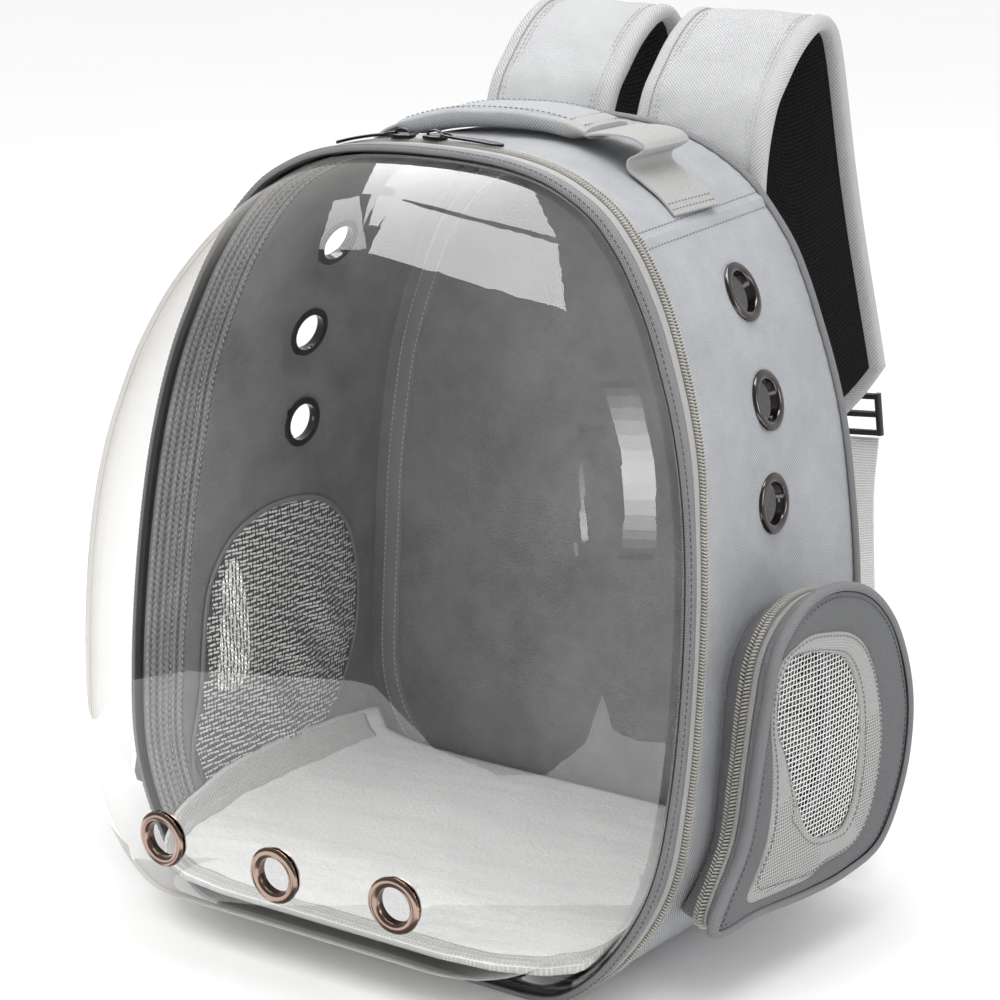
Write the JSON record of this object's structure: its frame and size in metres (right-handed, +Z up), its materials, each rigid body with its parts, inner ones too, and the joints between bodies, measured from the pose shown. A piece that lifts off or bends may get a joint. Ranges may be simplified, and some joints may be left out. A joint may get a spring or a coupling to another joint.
{
  "type": "bubble pet carrier backpack",
  "caption": "Arched soft-sided pet carrier backpack with a clear domed front, bulging zipped side doors with mesh windows, padded shoulder straps and a top handle.",
  "frame": {"origin": "middle of the flat base, on the surface that the carrier stands on", "axes": "+Z up, the clear bubble towards -Y, the shoulder straps towards +Y, +X to the wearer's right"},
  "size_m": [0.3962, 0.437, 0.4396],
  "materials": {
    "shell_fabric": "light cool grey woven oxford cloth, matte",
    "lining_fabric": "dark grey woven lining, matte",
    "edge_binding": "grey herringbone tape with dotted stitches, matte",
    "strap_fabric": "pale grey woven cloth over foam, matte",
    "strap_binding": "pale grey twill tape, matte",
    "strap_mesh": "black air mesh, matte",
    "webbing": "pale ribbed webbing, matte",
    "grip_fabric": "pale grey woven cloth over webbing, matte",
    "zip_tape": "light grey zip tape, matte",
    "zip_teeth": "silvery beige coil, satin",
    "clear_bubble": "clear colourless sheet, polished",
    "bubble_eyelet_metal": "copper brown, polished",
    "side_eyelet_metal": "black nickel, polished",
    "slider_metal": "black, satin",
    "buckle_plastic": "black moulded, satin",
    "window_mesh": "open dark net with light strands, matte",
    "mesh_frame": "light grey cloth band, matte",
    "door_fabric": "dark grey woven cloth, matte",
    "mat_plush": "white short pile, matte"
  },
  "bodies": {
    "root": {"right_side_panel": "shell_fabric", "left_side_panel": "shell_fabric", "top_panel": "shell_fabric", "side_lining": "lining_fabric", "base_panel": "shell_fabric", "back_panel": "shell_fabric", "back_lining": "lining_fabric", "back_piping": "edge_binding", "rim_binding": "edge_binding", "front_zip_tape": "zip_tape", "front_zip_coil": "zip_teeth", "bubble_dome": "clear_bubble", "bubble_eyelet_left": "bubble_eyelet_metal", "bubble_eyelet_center": "bubble_eyelet_metal", "bubble_eyelet_right": "bubble_eyelet_metal", "right_eyelet_top": "side_eyelet_metal", "right_eyelet_middle": "side_eyelet_metal", "right_eyelet_bottom": "side_eyelet_metal", "right_door_gusset": "shell_fabric", "right_door_panel": "door_fabric", "right_door_binding": "edge_binding", "right_door_zip_coil": "zip_teeth", "right_door_mesh": "window_mesh", "right_door_mesh_frame": "mesh_frame", "right_handle_webbing": "webbing", "right_zip_slider": "slider_metal", "right_zip_pull": "slider_metal", "right_shoulder_strap": "strap_fabric", "right_strap_lining": "strap_mesh", "right_strap_binding": "strap_binding", "right_strap_buckle": "buckle_plastic", "right_lower_webbing": "webbing", "left_eyelet_top": "side_eyelet_metal", "left_eyelet_middle": "side_eyelet_metal", "left_eyelet_bottom": "side_eyelet_metal", "left_door_gusset": "shell_fabric", "left_door_panel": "door_fabric", "left_door_binding": "edge_binding", "left_door_zip_coil": "zip_teeth", "left_door_mesh": "window_mesh", "left_door_mesh_frame": "mesh_frame", "left_handle_webbing": "webbing", "left_zip_slider": "slider_metal", "left_zip_pull": "slider_metal", "left_shoulder_strap": "strap_fabric", "left_strap_lining": "strap_mesh", "left_strap_binding": "strap_binding", "left_strap_buckle": "buckle_plastic", "left_lower_webbing": "webbing", "floor_mat": "mat_plush", "handle_grip": "grip_fabric"}
  },
  "joints": []
}
